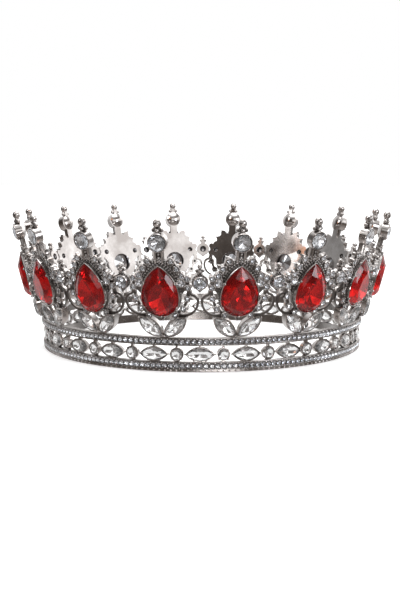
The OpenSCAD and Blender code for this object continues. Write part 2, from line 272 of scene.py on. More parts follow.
# %% [markdown]
# ## Two helpers for materials
# Colours are written as sRGB hex values, as in a paint chart, and Blender wants linear light, so one
# function turns one into the other. A second adds a node with its settings and its links.

# %% Colour and node helpers
def paint(code):
    """Linear RGBA from an sRGB hex colour."""
    parts = [int(code[i : i + 2], 16) / 255 for i in (1, 3, 5)]
    return [p / 12.92 if p <= 0.04045 else ((p + 0.055) / 1.055) ** 2.4 for p in parts] + [1.0]


def add(tree, kind, settings=(), links=(), **fields):
    """Adds a node: fields are its own properties, settings its input values, links its input sources."""
    made = tree.nodes.new("ShaderNode" + kind)
    for name, value in fields.items():
        setattr(made, name, value)
    for name, value in dict(settings).items():
        made.inputs[name].default_value = value
    for name, source in dict(links).items():
        tree.links.new(source, made.inputs[name])
    return made


def new_material(name):
    material = bpy.data.materials.new(name)
    material.use_nodes = True
    material.node_tree.nodes.clear()
    return material, material.node_tree


def per_metre(size_mm):
    """Noise scale for a pattern whose features are that many millimetres across."""
    return 1 / (size_mm * MM)


# %% [markdown]
# ## Plated zinc
# Cheap crowns are cast in zinc alloy, tumbled and plated with a bright rhodium-coloured film. The film
# mirrors its surroundings, slightly unevenly, because the cast skin under it is never quite flat. The low
# places get a rougher finish and painted shade: their colour is darkened towards a shadow grey.
# Each casting carries a number at its points, called recess_shade, that says how deep a place lies, and
# the material reads it.

# %% Plated zinc casting
def plated_zinc():
    material, tree = new_material("rhodium_tone_plated_zinc")
    place = add(tree, "TexCoord").outputs["Object"]
    cloud = add(tree, "TexNoise", {"Scale": per_metre(7), "Detail": 3}, {"Vector": place})
    skin = add(tree, "TexNoise", {"Scale": per_metre(0.9), "Detail": 4}, {"Vector": place})
    recess_shade = add(tree, "Attribute", attribute_name="recess_shade", attribute_type="GEOMETRY")
    film = add(tree, "ValToRGB", links={"Fac": cloud.outputs["Fac"]})
    film.color_ramp.elements[0].position, film.color_ramp.elements[0].color = 0.35, paint("#aea8a5")
    film.color_ramp.elements[1].position, film.color_ramp.elements[1].color = 0.65, paint("#d4d0ce")
    # Painted shade: the hollows' number darkens the film towards a shadow grey, #4b4541, and roughens it
    depth = add(tree, "MapRange", {"To Min": 0.0, "To Max": 0.85}, {"Value": recess_shade.outputs["Fac"]})
    colour = add(tree, "Mix", {"B": paint("#4b4541")}, data_type="RGBA")
    tree.links.new(depth.outputs["Result"], colour.inputs["Factor"])
    tree.links.new(film.outputs["Color"], colour.inputs["A"])
    polish = add(tree, "MapRange", {"To Min": 0.08, "To Max": 0.2}, {"Value": cloud.outputs["Fac"]})
    dull = add(tree, "Math", {1: 0.3}, {0: recess_shade.outputs["Fac"], 2: polish.outputs["Result"]},
               operation="MULTIPLY_ADD")
    bump = add(tree, "Bump", {"Strength": 0.25, "Distance": 0.00002}, {"Height": skin.outputs["Fac"]})
    metal = add(tree, "BsdfPrincipled", {"Metallic": 1.0},
                {"Base Color": colour.outputs["Result"], "Roughness": dull.outputs["Value"],
                 "Normal": bump.outputs["Normal"]})
    add(tree, "OutputMaterial", links={"Surface": metal.outputs["BSDF"]})
    return material


zinc = plated_zinc()
print("material:", zinc.name)

# %% [markdown]
# ## Pressed glass and mirror foil
# A rhinestone is pressed glass with flat polished facets. Its back is silvered like a mirror, so light
# enters through the crown, bounces off the back facets and comes out again in patches of dark and
# bright. The drops and the round stones on the fingers, finials and rails are made the same way: the
# front faces are glass, and the back faces are a mirror foil. The leaves and the middle row of the band
# sit in open-backed cups without foil, so they are glass all through and the room shows behind them.
# Pressed glass is slightly milky, so a little of each stone, one less its clarity, doesn't let light
# through. Tiny waves from the polishing wheel blur a few of the reflections.

# %% Glass and foil
def cut_glass(name, light, deep, ior, clarity):
    material, tree = new_material(name)
    place = add(tree, "TexCoord").outputs["Object"]
    streak = add(tree, "TexNoise", {"Scale": per_metre(4), "Detail": 2}, {"Vector": place})
    melt = add(tree, "ValToRGB", links={"Fac": streak.outputs["Fac"]})
    melt.color_ramp.elements[0].position, melt.color_ramp.elements[0].color = 0.35, paint(deep)
    melt.color_ramp.elements[1].position, melt.color_ramp.elements[1].color = 0.65, paint(light)
    polish = add(tree, "MapRange", {"To Min": 0.0, "To Max": 0.03}, {"Value": streak.outputs["Fac"]})
    glass = add(tree, "BsdfPrincipled", {"IOR": ior, "Transmission Weight": clarity},
                {"Base Color": melt.outputs["Color"], "Roughness": polish.outputs["Result"]})
    add(tree, "OutputMaterial", links={"Surface": glass.outputs["BSDF"]})
    return material


def mirror_foil(name, bright, worn):
    material, tree = new_material(name)
    place = add(tree, "TexCoord").outputs["Object"]
    lacquer = add(tree, "TexNoise", {"Scale": per_metre(1.5), "Detail": 3}, {"Vector": place})
    tone = add(tree, "ValToRGB", links={"Fac": lacquer.outputs["Fac"]})
    tone.color_ramp.elements[0].position, tone.color_ramp.elements[0].color = 0.3, paint(worn)
    tone.color_ramp.elements[1].position, tone.color_ramp.elements[1].color = 0.6, paint(bright)
    polish = add(tree, "MapRange", {"To Min": 0.03, "To Max": 0.1}, {"Value": lacquer.outputs["Fac"]})
    foil = add(tree, "BsdfPrincipled", {"Metallic": 1.0},
               {"Base Color": tone.outputs["Color"], "Roughness": polish.outputs["Result"]})
    add(tree, "OutputMaterial", links={"Surface": foil.outputs["BSDF"]})
    return material


clear_glass = cut_glass("clear_pressed_glass", "#f8f8f8", "#ededee", 1.56, 0.94)
red_glass = cut_glass("ruby_pressed_glass", "#ea1812", "#b80c12", 1.56, 0.88)
silver_foil = mirror_foil("silver_mirror_foil", "#eceef2", "#c9ccd2")
print("glass and foil:", clear_glass.name, red_glass.name, silver_foil.name)

# %% [markdown]
# ## Finishing a piece
# Every piece ends in the same way: its mesh goes from millimetres to metres, smooth surfaces are shaded
# smooth up to a chosen angle, and the new piece rides on the crown's one body in place of the plain CAD
# node. Stones keep flat shading, because flat facets are what makes them flash.

# %% Finish a piece
def finish_piece(name, bm, materials, stands_for, smooth=None):
    bmesh.ops.scale(bm, vec=(MM, MM, MM), verts=bm.verts)
    mesh = bpy.data.meshes.new(name)
    bm.to_mesh(mesh)
    bm.free()
    for material in materials:
        mesh.materials.append(material)
    if smooth:
        mesh.polygons.foreach_set("use_smooth", [True] * len(mesh.polygons))
        mesh.set_sharp_from_angle(angle=math.radians(smooth))
    piece = bpy.data.objects.new(name, mesh)
    if smooth:
        flats = piece.modifiers.new("flats stay flat", "WEIGHTED_NORMAL")
        flats.keep_sharp = True
    bpy.context.collection.objects.link(piece)
    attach(piece, "root")
    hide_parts(*stands_for)
    return piece


def everything(bm):
    return bm.verts[:] + bm.edges[:] + bm.faces[:]


def round_the_ring(bm, count):
    """Repeats what a bmesh holds round the crown's axis."""
    bmesh.ops.spin(bm, geom=everything(bm), cent=(0, 0, 0), axis=(0, 0, 1), dvec=(0, 0, 0),
                   angle=2 * math.pi * (count - 1) / count, steps=count - 1, use_duplicate=True)


def stamp(bm, mesh, matrix):
    """Adds a copy of a mesh, moved by a matrix."""
    moved = mesh.copy()
    moved.transform(matrix)
    if matrix.determinant() < 0:
        moved.flip_normals()
    bm.from_mesh(moved)
    bpy.data.meshes.remove(moved)


MIRROR = Matrix.Scale(-1, 4, (1, 0, 0))

# %% [markdown]
# ## Cutting a stone
# A cut stone is convex, so a convex hull round the right points makes every facet at once. The points
# come in levels: the girdle is the widest, the table is the flat top, a level between them splits the
# crown into kites, and the pavilion below narrows to a point called the culet. Levels alternate by
# half a step. The hull's coplanar triangles are dissolved, so that the table is one face. Faces that
# look backwards take the foil, unless the stone has none.

# %% Cut a stone
def cut_stone(outline, levels, culet, foiled=True):
    """levels holds (points, phase, share of the outline's size, height)."""
    bm = bmesh.new()
    for count, phase, share, height in levels:
        for point in outline(count, phase):
            bm.verts.new((point.x * share, point.y * share, height))
    bm.verts.new((0, 0, culet))
    hull = bmesh.ops.convex_hull(bm, input=bm.verts[:])
    inside = [item for item in hull["geom_interior"] if isinstance(item, bmesh.types.BMVert)]
    bmesh.ops.delete(bm, geom=inside, context="VERTS")
    bmesh.ops.dissolve_limit(bm, angle_limit=math.radians(0.5), verts=bm.verts[:], edges=bm.edges[:])
    bmesh.ops.recalc_face_normals(bm, faces=bm.faces[:])
    for face in bm.faces:
        face.material_index = 1 if foiled and face.normal.z < -0.1 else 0
    mesh = bpy.data.meshes.new("cut_stone")
    bm.to_mesh(mesh)
    bm.free()
    return mesh


def brilliant(outline, count, girdle, table_h, culet, table=0.58, belly=0.0, foiled=True):
    """A stone with a table, one alternating row of crown facets, a thin girdle and a pavilion."""
    levels = [
        (count, 0.0, 1.0, girdle),
        (count, 0.0, 1.0, girdle + 0.12),
        (count // 2, 0.5, 0.84, girdle + 0.12 + 0.62 * (table_h - girdle - 0.12)),
        (count // 2, 0.0, table, table_h),
    ]
    if belly:
        levels.append((count // 2, 0.5, 0.5, girdle + belly * (culet - girdle)))
    return cut_stone(outline, levels, culet, foiled)


def small_stone(diameter, girdle, table_h, culet):
    """A stone for the long rows: eight sides, few faces."""
    levels = [(8, 0.0, 1.0, girdle), (8, 0.0, 1.0, girdle + 0.1), (4, 0.5, 0.62, table_h),
              (4, 0.0, 0.62, table_h)]
    return cut_stone(circle_outline(diameter), levels, culet)


drop_cut = brilliant(drop_outline(), 16, 1.6, 4.2, -1.3, table=0.6, belly=0.55)
print("faces on a drop stone:", len(drop_cut.polygons))

# %% [markdown]
# ## The red drops
# Sixteen pear-cut stones, 13 by 18 mm, sit in the fingers. They are the crown's main colour. Their
# pavilion goes through the round window in the casting, as a deep stone's does. One stone is cut, and
# copies of it are carried to the fingers.

# %% Red drops
def on_finger(bm, mesh, number, spot, turn=0.0):
    stamp(bm, mesh, finger_plane(number) @ Matrix.Translation(spot) @ Matrix.Rotation(turn, 4, "Z"))


for number in range(1, FINGER_COUNT + 1):
    bm = bmesh.new()
    on_finger(bm, drop_cut, number, Vector((0, drop_mid, 0)))
    finish_piece(f"red_drop_{number}", bm, [red_glass, silver_foil], [f"drop_stone_{number}"])
print("red drops:", FINGER_COUNT)

# %% [markdown]
# ## The clear stones on the fingers
# Leaves, crests, flanks and the small accents are cut in the same way. Each kind is one piece: a stone is
# set on the first finger, on both its sides where it comes in pairs, and a spin repeats it.

# %% Clear stones on the fingers
def clear_stones(name, mesh, spots, stands_for, turn=0.0, plane=finger_plane(1), mirrored=True):
    bm = bmesh.new()
    for spot in spots:
        set_here = Matrix.Translation(spot) @ Matrix.Rotation(turn, 4, "Z")
        stamp(bm, mesh, plane @ set_here)
        if mirrored:
            stamp(bm, mesh, plane @ MIRROR @ set_here)
    round_the_ring(bm, FINGER_COUNT)
    return finish_piece(name, bm, [clear_glass, silver_foil], [stands_for])


leaf_cut = brilliant(lens_outline(LEAF), 12, 0.8, 2.3, -0.9, table=0.52, belly=0.5, foiled=False)
CREST_TABLE_H = 2.28
crest_cut = brilliant(circle_outline(CREST_D), 16, 0.9, CREST_TABLE_H, 0.05, table=0.55, belly=0.5)
flank_cut = brilliant(circle_outline(FLANK_D), 12, 0.5, 1.4, 0.02)
accent_cut = small_stone(ACCENT_D, 0.45, 1.05, 0.02)
bridge_cut = brilliant(circle_outline(BRIDGE_D), 16, 0.8, 2.0, -0.9, table=0.55, belly=0.5)
clear_stones("leaf_stone_pairs", leaf_cut, [leaf_mid], "leaf_stones", turn=LEAF_ANGLE)
clear_stones("crest_rounds", crest_cut, [Vector((0, crest_y, 0))], "crest_stones", mirrored=False)
clear_stones("flank_rounds", flank_cut, [flank_spot], "flank_stones")
clear_stones("shoulder_accents", accent_cut, shoulder_spots, "shoulder_stones")
clear_stones("scroll_accents", accent_cut, scroll_spots, "scroll_stones")
clear_stones("bridge_rounds", bridge_cut, [Vector((0, bridge_y, 0))], "bridge_stones",
             plane=leaning_plane(PITCH, bridge_plane_r), mirrored=False)

# %% [markdown]
# ## Beads, claws and wires
# Stones are held by claws: little posts whose tops are pushed over the girdle and look like beads. The
# bright rims round the stones are half-round wire. A low sphere makes a bead, and a curve with a round
# bevel makes a wire, which is the quickest way to follow an outline.

# %% Beads and wires
def bead(bm, spot, radius, finer=0):
    at = Matrix.Translation(spot)
    bmesh.ops.create_uvsphere(bm, u_segments=8 + finer, v_segments=5 + finer // 2, radius=radius, matrix=at)


def wire(bm, points, radius, closed=True, matrix=Matrix.Identity(4)):
    line = bpy.data.curves.new("wire", "CURVE")
    line.dimensions = "3D"
    line.bevel_depth = radius
    line.bevel_resolution = 1
    line.use_fill_caps = True
    spline = line.splines.new("POLY")
    spline.points.add(len(points) - 1)
    for made, point in zip(spline.points, points):
        made.co = (*point, 1)
    spline.use_cyclic_u = closed
    holder = bpy.data.objects.new("wire", line)
    bpy.context.collection.objects.link(holder)
    mesh = bpy.data.meshes.new_from_object(holder)
    bpy.data.objects.remove(holder)
    stamp(bm, mesh, matrix)
    bpy.data.meshes.remove(mesh)


def claws(bm, spot, reach, height, radius, turns):
    for turn in turns:
        bead(bm, spot + Vector((reach * math.cos(turn), reach * math.sin(turn), height)), radius)


FOUR_CLAWS = [math.radians(45 + 90 * i) for i in range(4)]

# %% [markdown]
# ## The finger castings
# The CAD casting has the right plate, bezels, cups and scrolls, but its edges are knife-sharp, as no
# casting's are. So the finished casting starts from a copy of the CAD mesh: its doubles are merged, flat
# triangles are dissolved and every sharp edge is bevelled. The scroll wires are then thinned from the
# back. The trimmings are made in a mesh of their own, because each operator looks through the whole mesh
# that it works on: claws on every cup and round the drop, half-round rims on the bezels, granules round
# the drop and two bars on the neck.

# %% A copy of a CAD casting, laid into its flat plane, with its edges rounded
def rounded_copy(node, plane, width, half_width=30.0):
    bm = bmesh.new()
    bm.from_mesh(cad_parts[node].data)
    bmesh.ops.scale(bm, vec=(1 / MM, 1 / MM, 1 / MM), verts=bm.verts)
    bmesh.ops.remove_doubles(bm, verts=bm.verts[:], dist=0.004)
    bmesh.ops.transform(bm, matrix=plane.inverted(), verts=bm.verts)
    others = [v for v in bm.verts if abs(v.co.x) > half_width or abs(v.co.z) > half_width]
    bmesh.ops.delete(bm, geom=others, context="VERTS")
    bmesh.ops.dissolve_limit(bm, angle_limit=math.radians(1), verts=bm.verts[:], edges=bm.edges[:])
    bmesh.ops.remove_doubles(bm, verts=bm.verts[:], dist=0.03)
    sharp = [e for e in bm.edges if len(e.link_faces) == 2 and e.calc_face_angle() > math.radians(40)]
    bmesh.ops.bevel(bm, geom=sharp, offset=width, offset_type="OFFSET", segments=2, profile=0.5,
                    affect="EDGES", clamp_overlap=False, material=-1)
    return bm


EDGE_ROUNDING = 0.06
blank = rounded_copy("finger_casting_1", finger_plane(1), EDGE_ROUNDING)
print("faces on a rounded casting:", len(blank.faces))

# %% Thin the scroll wires: on the real casting they are half as deep as the plate
SCROLL_W = 0.8
SCROLL_DEPTH = 0.8
contact_y = drop_mid - 1.6
scroll_r = contact_y - joint_spot.y + 0.3
widest = max(v.co.x for v in blank.verts)


def on_scroll(place):
    """True on the wire's quarter rings, which bulge out to the casting's widest point."""
    out = Vector((abs(place.x) - widest + scroll_r, place.y - contact_y))
    low = out.y <= 0 and out.x > 0 and abs(out.length - scroll_r + SCROLL_W / 2) < SCROLL_W / 2 + 0.06
    return low or (abs(place.x) > widest - SCROLL_W - 0.1 and 0 < out.y < 1.5)


for v in blank.verts:
    if on_scroll(v.co):
        v.co.z = max(v.co.z, -SCROLL_DEPTH)

# %% Claws and rims
def both_sides(spots):
    return [Vector((side * spot.x, spot.y, spot.z)) for spot in spots for side in (1, -1)]


RIM_GROW = 0.17
CUP_CLAW_H, FLANK_CLAW_H, CREST_CLAW_H, DROP_CLAW_H = 0.8, 0.9, 1.3, 2.05
DROP_RIM_H, CREST_RIM_H, LEAF_RIM_H = 1.85, 1.25, 0.98
DROP_CLAW_SHARES = (1 / 12, 3 / 12, 5 / 12, 0.6, 0.9)
trim = bmesh.new()
for spot in both_sides(shoulder_spots + scroll_spots):
    claws(trim, spot, CUP_R - 0.06, CUP_CLAW_H, 0.36, FOUR_CLAWS)
for spot in both_sides([flank_spot]):
    claws(trim, spot, FLANK_D / 2 + 0.15, FLANK_CLAW_H, 0.38, FOUR_CLAWS)
claws(trim, Vector((0, crest_y, 0)), CREST_D / 2 + 0.12, CREST_CLAW_H, 0.42, FOUR_CLAWS)

drop_place = Matrix.Translation((0, drop_mid, 0))
wire(trim, [p + Vector((0, 0, DROP_RIM_H)) for p in drop_outline(RIM_GROW)(72)], 0.2, matrix=drop_place)
wire(trim, [p + Vector((0, 0, CREST_RIM_H)) for p in circle_outline(CREST_D, RIM_GROW)(40)], 0.22,
     matrix=Matrix.Translation((0, crest_y, 0)))
for side in (Matrix.Identity(4), MIRROR):
    leaf_place = side @ Matrix.Translation(leaf_mid) @ Matrix.Rotation(LEAF_ANGLE, 4, "Z")
    rim = [p + Vector((0, 0, LEAF_RIM_H)) for p in lens_outline(LEAF, RIM_GROW)(48)]
    wire(trim, rim, 0.19, matrix=leaf_place)
    for along in (-leaf_reach + 0.25, leaf_reach - 0.25):
        bead(trim, leaf_place @ Vector((along, 0, 1.0)), 0.42)
for share in DROP_CLAW_SHARES:
    bead(trim, drop_place @ (drop_outline(0.05)(1, share)[0] + Vector((0, 0, DROP_CLAW_H))), 0.5)

# %% Granules: rows of fine beads that follow the drop and fill the shoulders between the cups
cups = both_sides(shoulder_spots + scroll_spots)
flanks = both_sides([flank_spot])


def free_of_cups(spot):
    clear = all((spot - c).length > CUP_R + 0.2 for c in cups)
    return clear and all((spot - c).length > FLANK_D / 2 + WALL + 0.15 for c in flanks)


ROWS_OF_GRANULES = [(0.5, 58, 0.0, 1.0, 0.37), (1.3, 60, 0.57, 0.93, 0.42), (2.1, 64, 0.63, 0.87, 0.42),
                    (2.9, 66, 0.655, 0.845, 0.4)]
granules = 0
for grow, count, first, last, size in ROWS_OF_GRANULES:
    for i, point in enumerate(drop_outline(grow)(count, 0.5)):
        spot = drop_place @ point
        if first <= (i + 0.5) / count <= last and free_of_cups(spot) and spot.y < drop_tip + 2.4:
            bead(trim, spot + Vector((0, 0, 0.25)), size)
            granules += 1
print("granules on a casting:", granules)

# %% The neck's bars and the beads below the tip
NECK_BAR_X = 1.2
for side in (-1, 1):
    bar = [Vector((side * NECK_BAR_X, y, 0.1)) for y in (drop_tip + 0.8, crest_y - crest_r + 0.2)]
    wire(trim, bar, 0.55, closed=False)
neck_h = crest_y - crest_r - drop_tip
for share in (0.3, 0.55, 0.8):
    bead(trim, Vector((0, drop_tip + share * neck_h, 0.2)), 0.5)
bead(trim, Vector((0, tier_y, 0.05)), 0.85, finer=4)
for side in (-1, 1):
    bead(trim, Vector((side * 0.7, tier_y + 0.85, -0.3)), 0.6, finer=2)

# %% [markdown]
# The recess_shade number goes on now as painted shade: one at the plate's front face between the settings,
# nothing at the tops of the rims and on the polished back. The scroll wires are painted nearly as dark as
# the plate's front, all round, as painted shade. Sixteen copies are then carried to their places.

# %% Paint shade into the hollows and set the sixteen castings
# Painted shade on the scroll wires
SCROLL_SHADE = 0.9


def paint_hollow_shade(bm, shaded_spots=()):
    recess_shade = bm.verts.layers.float.new("recess_shade")
    for v in bm.verts:
        # Painted shade: darkest at the plate's front face, fading out within 0.6 mm of it, none on the back
        v[recess_shade] = max(0.0, 1 - abs(v.co.z - 0.05) / 0.6) if v.co.z > -0.5 else 0.0
        if any(near(v.co) for near in shaded_spots):
            v[recess_shade] = SCROLL_SHADE


def as_mesh(bm, name):
    mesh = bpy.data.meshes.new(name)
    bm.to_mesh(mesh)
    bm.free()
    return mesh


stamp(blank, as_mesh(trim, "trim"), Matrix.Identity(4))
paint_hollow_shade(blank, [on_scroll])
casting = as_mesh(blank, "casting")
for number in range(1, FINGER_COUNT + 1):
    bm = bmesh.new()
    stamp(bm, casting, finger_plane(number))
    finish_piece(f"casting_{number}", bm, [zinc], [f"finger_casting_{number}"], smooth=40)
print("castings:", FINGER_COUNT, "with", len(casting.polygons), "faces each")

# %% [markdown]
# ## The bridge finials
# A small finial stands between each two fingers. It is made as the fingers are, from a rounded copy of
# the CAD piece. All sixteen are one CAD node, so the copy keeps only the first, and a spin repeats it
# with its claws.

# %% Bridge finials
bridge_plane = leaning_plane(PITCH, bridge_plane_r)
finial = rounded_copy("bridge_finials", bridge_plane, EDGE_ROUNDING, half_width=5.0)
trim = bmesh.new()
claws(trim, Vector((0, bridge_y, 0)), BRIDGE_D / 2 + 0.12, 1.15, 0.4, FOUR_CLAWS)
wire(trim, [p + Vector((0, bridge_y, 1.08)) for p in circle_outline(BRIDGE_D, 0.16)(32)], 0.19)
for point in circle_outline(BRIDGE_D, WALL + 0.18)(20):
    bead(trim, point + Vector((0, bridge_y, 0.15)), 0.27)
for spot, size in (((0, bridge_tier_y, 0), 0.7), ((0, bridge_tip_y, -0.1), 0.8),
                   ((-0.5, bridge_tier_y - 0.85, 0), 0.5), ((0.5, bridge_tier_y - 0.85, 0), 0.5),
                   ((0, bridge_y - bridge_r - 0.7, 0), 0.4)):
    bead(trim, Vector(spot), size, finer=2)
stamp(finial, as_mesh(trim, "trim"), Matrix.Identity(4))
paint_hollow_shade(finial)
bmesh.ops.transform(finial, matrix=bridge_plane, verts=finial.verts)
round_the_ring(finial, FINGER_COUNT)
finish_piece("bridge_castings", finial, [zinc], ["bridge_finials"], smooth=40)
print("bridge finials:", FINGER_COUNT)

# %% [markdown]
# ## The rails
# Both rails are cup chain: a metal channel with a row of small stones, and between each two stones a pair
# of beads raised from the lips. A closed profile is spun round the axis to make the channel, and its
# edges are bevelled. The lower rail has a second row of beads along its foot. The recess_shade number is
# one down in the channel and about half on the rest of the channel's metal: this is painted shade, which
# darkens the channel and its lips. The beads are added afterwards and have none, so they are the brightest.

# %% Spin a rail
CHANNEL = 0.6
# Painted shade on the rail's metal outside the channel
LIP_SHADE = 0.45


def rail(outer, z, height, stone_z):
    half = RAIL_STONE_D / 2 + 0.04
    profile = [(BORE_R, z), (outer, z), (outer, stone_z - half), (outer - CHANNEL, stone_z - half),
               (outer - CHANNEL, stone_z + half), (outer, stone_z + half), (outer, z + height),
               (BORE_R, z + height)]
    bm = bmesh.new()
    made = [bm.verts.new((x, 0, height_here)) for x, height_here in profile]
    loop = [bm.edges.new((made[i - 1], made[i])) for i in range(len(made))]
    bmesh.ops.spin(bm, geom=made + loop, cent=(0, 0, 0), axis=(0, 0, 1), dvec=(0, 0, 0),
                   angle=2 * math.pi, steps=RAIL_COUNT, use_merge=True)
    bmesh.ops.recalc_face_normals(bm, faces=bm.faces[:])
    sharp = [e for e in bm.edges if e.calc_face_angle(0) > math.radians(40)]
    bmesh.ops.bevel(bm, geom=sharp, offset=0.14, offset_type="OFFSET", segments=2, profile=0.5,
                    affect="EDGES", clamp_overlap=False, material=-1)
    # Painted shade: the channel is darkened fully and the rest of the rail's metal about half
    recess_shade = bm.verts.layers.float.new("recess_shade")
    for v in bm.verts:
        inside = BORE_R + 0.3 < math.hypot(v.co.x, v.co.y) < outer - 0.3
        v[recess_shade] = 1.0 if inside and abs(v.co.z - stone_z) < half else LIP_SHADE
    return bm


def row_of_beads(bm, radius, z, size, phase):
    row = bmesh.new()
    at = upright_plane(2 * math.pi * phase / RAIL_COUNT, radius, z)
    bead(row, at.to_translation(), size)
    round_the_ring(row, RAIL_COUNT)
    stamp(bm, as_mesh(row, "beads"), Matrix.Identity(4))


rail_cut = small_stone(RAIL_STONE_D, 0.5, 1.0, 0.05)


def rail_pieces(name, outer, z, height, stone_z, foot_row):
    bm = rail(outer, z, height, stone_z)
    for lip in (-1, 1):
        row_of_beads(bm, outer - 0.02, stone_z + lip * (RAIL_STONE_D / 2 - 0.05), 0.36, 0.5)
    if foot_row:
        row_of_beads(bm, outer - 0.12, z + 0.46, 0.42, 0)
    finish_piece(name + "_chain", bm, [zinc], [name], smooth=35)
    stones = bmesh.new()
    stamp(stones, rail_cut, upright_plane(0, outer - CHANNEL, stone_z))
    round_the_ring(stones, RAIL_COUNT)
    glass_and_foil = [clear_glass, silver_foil]
    finish_piece(name + "_rhinestones", stones, glass_and_foil, [name + "_stones"])


rail_pieces("lower_rail", BASE_R, 0, LOWER_RAIL_H, LOWER_RAIL_H - 0.45 - RAIL_STONE_D / 2, True)
rail_pieces("upper_rail", UPPER_R, UPPER_RAIL_Z, BAND_TOP - UPPER_RAIL_Z,
            (UPPER_RAIL_Z + BAND_TOP) / 2, False)
print("small stones in the rails:", 2 * RAIL_COUNT)

# %% [markdown]
# ## The middle row
# Lying navettes and round stones take turns between the rails, each in an open-backed cup on a foot, with
# a post up to the upper rail and a link bead where two cups meet. A cup starts as one flat face with
# the outline's shape. It is extruded to its height, its top is inset and sunk to make the wall, and the
# floor is opened, so light comes in from behind.

# %% A cup for a stone
ROW_BACK_R = BORE_R + 0.05
ROW_Z = LOWER_RAIL_H + WALL + NAVETTE[1] / 2
SEAT_H = 0.5
SETTING_H = 1.6


def cup(outline, count):
    bm = bmesh.new()
    base = bm.faces.new([bm.verts.new(p) for p in outline(count)])
    if base.normal.z > 0:
        base.normal_flip()
    base.normal_update()
    raised = bmesh.ops.extrude_face_region(bm, geom=[base])
    top = [item for item in raised["geom"] if isinstance(item, bmesh.types.BMFace)][0]
    bmesh.ops.translate(bm, vec=(0, 0, SETTING_H), verts=top.verts[:])
    bmesh.ops.recalc_face_normals(bm, faces=bm.faces[:])
    bmesh.ops.inset_region(bm, faces=[top], thickness=WALL - 0.04, use_even_offset=True)
    sunk = bmesh.ops.extrude_face_region(bm, geom=[top])
    floor = [item for item in sunk["geom"] if isinstance(item, bmesh.types.BMFace)][0]
    bmesh.ops.translate(bm, vec=(0, 0, SEAT_H - SETTING_H), verts=floor.verts[:])
    bmesh.ops.delete(bm, geom=[top], context="FACES_ONLY")
    return bm, floor


def open_back(bm, floor, ledge):
    """Cuts the window through the floor of a cup and leaves a ledge for the stone."""
    under = min(bm.faces, key=lambda f: (round(f.calc_center_median().z, 3), -f.calc_area()))
    bmesh.ops.inset_region(bm, faces=[floor], thickness=ledge, use_even_offset=True)
    bmesh.ops.inset_region(bm, faces=[under], thickness=ledge + WALL - 0.04, use_even_offset=True)
    edges = list(floor.edges) + list(under.edges)
    bmesh.ops.delete(bm, geom=[floor, under], context="FACES_ONLY")
    bmesh.ops.bridge_loops(bm, edges=edges)
    bmesh.ops.recalc_face_normals(bm, faces=bm.faces[:])


# %% The two cups, with their feet, posts, links and claws
def block(bm, size, middle):
    at = Matrix.Translation(middle) @ Matrix.Diagonal((*size, 1))
    made = bmesh.ops.create_cube(bm, size=1, matrix=at)["verts"]
    edges = list({e for v in made for e in v.link_edges})
    bmesh.ops.bevel(bm, geom=edges, offset=0.08, offset_type="OFFSET", segments=2, profile=0.5,
                    affect="EDGES", clamp_overlap=True, material=-1)


def row_setting(outline, count, reach, rim_points, claw_spots, claw_size):
    bm, floor = cup(outline(WALL), count)
    open_back(bm, floor, 0.6)
    sharp = [e for e in bm.edges if e.calc_face_angle(0) > math.radians(50)]
    bmesh.ops.bevel(bm, geom=sharp, offset=0.06, offset_type="OFFSET", segments=2, profile=0.5,
                    affect="EDGES", clamp_overlap=False, material=-1)
    foot_h = ROW_Z - LOWER_RAIL_H - reach + 0.4
    block(bm, (1.6, foot_h, SEAT_H), (0, LOWER_RAIL_H - ROW_Z + foot_h / 2, SEAT_H / 2))
    post_h = UPPER_RAIL_Z - ROW_Z - reach + 0.2
    block(bm, (0.8, post_h, SETTING_H), (0, UPPER_RAIL_Z - ROW_Z - post_h / 2, SETTING_H / 2))
    wire(bm, [p + Vector((0, 0, SETTING_H - 0.03)) for p in outline(0.17)(rim_points)], 0.19)
    for spot in claw_spots:
        bead(bm, spot + Vector((0, 0, SETTING_H + 0.05)), claw_size)
    return bm


def set_in_row(name, bm, phase, stands_for):
    """Stands a setting on the lower rail and repeats it round the ring."""
    plane = upright_plane(2 * math.pi * phase / ROW_COUNT, ROW_BACK_R, ROW_Z)
    bmesh.ops.transform(bm, matrix=plane, verts=bm.verts)
    round_the_ring(bm, ROW_COUNT)
    return finish_piece(name, bm, [zinc], [stands_for], smooth=35)


navette_reach = lens_half(NAVETTE, WALL)
LINK_R = 0.325
navette_claws = [Vector((side * (navette_reach - 0.35), 0, 0)) for side in (-1, 1)]
navette_claws += [Vector((x, side * (NAVETTE[1] / 2 - 0.2), 0)) for x in (-2.1, 2.1) for side in (-1, 1)]
navette = row_setting(lambda grow: lens_outline(NAVETTE, grow), 40, NAVETTE[1] / 2 + WALL, 48,
                      navette_claws, 0.36)
for side in (-1, 1):
    bead(navette, Vector((side * (navette_reach + 0.1), 0, SETTING_H / 2)), LINK_R, finer=4)
set_in_row("navette_cups", navette, 0, "navette_settings")
round_claws = [Vector((math.cos(t), math.sin(t), 0)) * (ROUND_D / 2 + 0.08) for t in FOUR_CLAWS]
rounds = row_setting(lambda grow: circle_outline(ROUND_D, grow), 36, ROUND_D / 2 + WALL, 36,
                     round_claws, 0.42)
set_in_row("round_cups", rounds, 0.5, "round_settings")


def stones_in_row(name, mesh, phase, stands_for):
    bm = bmesh.new()
    stamp(bm, mesh, upright_plane(2 * math.pi * phase / ROW_COUNT, ROW_BACK_R, ROW_Z))
    round_the_ring(bm, ROW_COUNT)
    return finish_piece(name, bm, [clear_glass, silver_foil], [stands_for])


